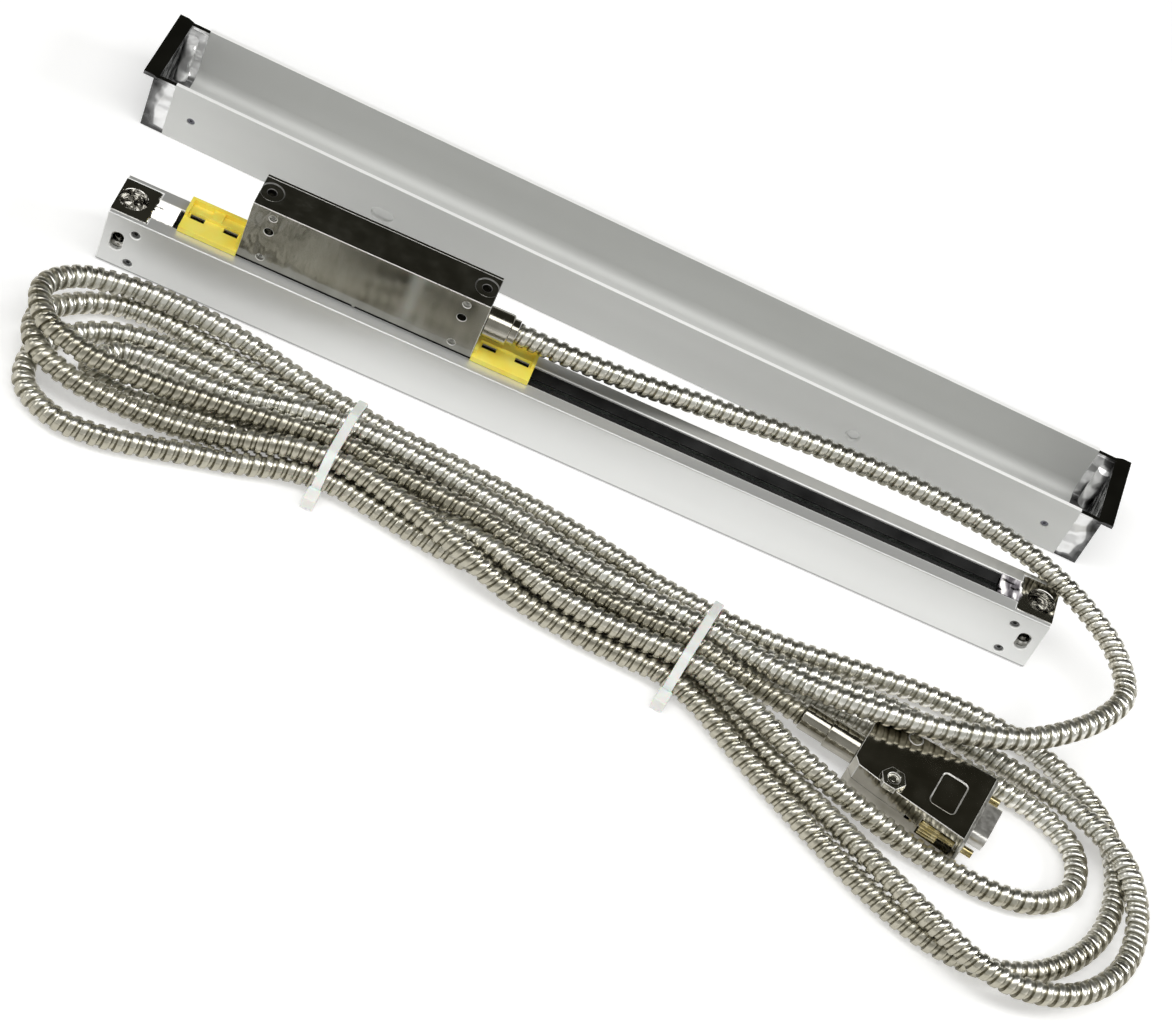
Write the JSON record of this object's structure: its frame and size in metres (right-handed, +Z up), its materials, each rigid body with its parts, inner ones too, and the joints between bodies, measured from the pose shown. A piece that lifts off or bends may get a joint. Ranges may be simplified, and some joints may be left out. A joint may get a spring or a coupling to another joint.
{
  "type": "linear glass scale",
  "caption": "Sealed linear encoder: slotted aluminium housing with a glass strip, sliding read head, armoured cable in a tied hank with D connector, and a loose dust cover.",
  "frame": {"origin": "middle of the scale housing's underside, on the surface the part lies on", "axes": "+X along the scale towards the cable's side, +Y from the front face to the back face, +Z up out of the slot"},
  "size_m": [0.4347, 0.2406, 0.0513],
  "materials": {
    "anodised_aluminium": "satin clear-anodised aluminium",
    "chrome_casting": "polished chrome plating",
    "black_rubber": "smooth black rubber",
    "clamp_rubber": "dull rubber",
    "scale_glass": "clear glass with a fine grating",
    "screw_steel": "blackened steel",
    "bright_steel": "ground steel",
    "carriage_alloy": "dark anodised aluminium",
    "circuit_green": "green circuit board with dark chips",
    "lamp_plastic": "clear epoxy",
    "yellow_plastic": "translucent yellow plastic",
    "conduit_metal": "nickelled interlocked steel strip, hollow, so it has a light metal's density",
    "hank_metal": "nickelled interlocked steel strip; the solid is the outer shape of the loops, so it has a light density",
    "tie_nylon": "natural nylon",
    "nickel_casting": "nickel plating",
    "insulator_plastic": "black moulding",
    "contact_gold": "gilt brass",
    "screw_brass": "nickelled brass, worn"
  },
  "bodies": {
    "scale": {"scale_body": "anodised_aluminium", "end_block_left": "chrome_casting", "end_block_right": "chrome_casting", "end_block_screws": "screw_steel", "glass_scale": "scale_glass", "glass_clamp_strip": "clamp_rubber", "seal_lip_front": "black_rubber", "seal_lip_back": "black_rubber"},
    "read_head": {"head_housing": "chrome_casting", "head_back_plate": "chrome_casting", "back_plate_screws": "screw_steel", "front_screws": "screw_steel", "circuit_board": "circuit_green", "neck_blade": "bright_steel", "neck_screws": "screw_steel", "coupling_spring": "bright_steel", "carriage": "carriage_alloy", "sensor_board": "circuit_green", "sensor_board_screws": "screw_steel", "led_lamp": "lamp_plastic", "condenser_lens": "scale_glass", "index_grating": "scale_glass", "roller_pins": "bright_steel", "cable_gland": "nickel_casting", "transport_bracket_left": "yellow_plastic", "transport_bracket_right": "yellow_plastic", "conduit": "conduit_metal", "conduit_hank": "hank_metal", "cable_tie_left": "tie_nylon", "cable_tie_right": "tie_nylon", "conduit_sleeve": "nickel_casting", "hood_lower": "nickel_casting", "hood_upper": "nickel_casting", "hood_screws": "nickel_casting", "connector_shell": "nickel_casting", "connector_insulator": "insulator_plastic", "connector_pins": "contact_gold"},
    "face_roller_left": {"face_roller_left": "bright_steel"},
    "face_roller_upper": {"face_roller_upper": "bright_steel"},
    "face_roller_right": {"face_roller_right": "bright_steel"},
    "edge_roller_left": {"edge_roller_left": "bright_steel"},
    "edge_roller_right": {"edge_roller_right": "bright_steel"},
    "thumb_screw_far": {"thumb_screw_far": "screw_brass"},
    "thumb_screw_near": {"thumb_screw_near": "screw_brass"},
    "dust_cover": {"cover_channel": "anodised_aluminium", "cover_cap_left": "chrome_casting", "cover_cap_right": "chrome_casting", "cover_cap_screws": "screw_steel"}
  },
  "joints": [
    {"name": "head_slide", "type": "slide", "parent": "scale", "child": "read_head", "axis": [1, 0, 0], "range_m": [0, 0.17]},
    {"name": "cover_lift", "type": "slide", "parent": "scale", "child": "dust_cover", "axis": [0, 0, 1], "range_m": [0, 0.1]},
    {"name": "face_roller_left_spin", "type": "hinge", "parent": "read_head", "child": "face_roller_left", "pos_m": [-0.1045, 0.00135, 0.0074], "axis": [0, 0, 1], "range_deg": [0, 4200]},
    {"name": "face_roller_upper_spin", "type": "hinge", "parent": "read_head", "child": "face_roller_upper", "pos_m": [-0.0979, 0.00135, 0.0126], "axis": [0, 0, 1], "range_deg": [0, 4200]},
    {"name": "face_roller_right_spin", "type": "hinge", "parent": "read_head", "child": "face_roller_right", "pos_m": [-0.0705, 0.00135, 0.0074], "axis": [0, 0, 1], "range_deg": [0, 4200]},
    {"name": "edge_roller_left_spin", "type": "hinge", "parent": "read_head", "child": "edge_roller_left", "pos_m": [-0.1045, 0.0049, 0.0172], "axis": [0, 1, 0], "range_deg": [0, 4200]},
    {"name": "edge_roller_right_spin", "type": "hinge", "parent": "read_head", "child": "edge_roller_right", "pos_m": [-0.0705, 0.0049, 0.0172], "axis": [0, 1, 0], "range_deg": [0, 4200]},
    {"name": "thumb_screw_far_turn", "type": "hinge", "parent": "read_head", "child": "thumb_screw_far", "pos_m": [0.15451, -0.07429, 0.008], "axis": [0.9816, -0.1908, 0], "continuous": true},
    {"name": "thumb_screw_near_turn", "type": "hinge", "parent": "read_head", "child": "thumb_screw_near", "pos_m": [0.14974, -0.09883, 0.008], "axis": [0.9816, -0.1908, 0], "continuous": true}
  ],
  "couplings": [
    {"joint": "face_roller_left_spin", "follows": "head_slide", "rad_per_m": 400},
    {"joint": "face_roller_upper_spin", "follows": "head_slide", "rad_per_m": 400},
    {"joint": "face_roller_right_spin", "follows": "head_slide", "rad_per_m": 400},
    {"joint": "edge_roller_left_spin", "follows": "head_slide", "rad_per_m": 400},
    {"joint": "edge_roller_right_spin", "follows": "head_slide", "rad_per_m": 400}
  ]
}
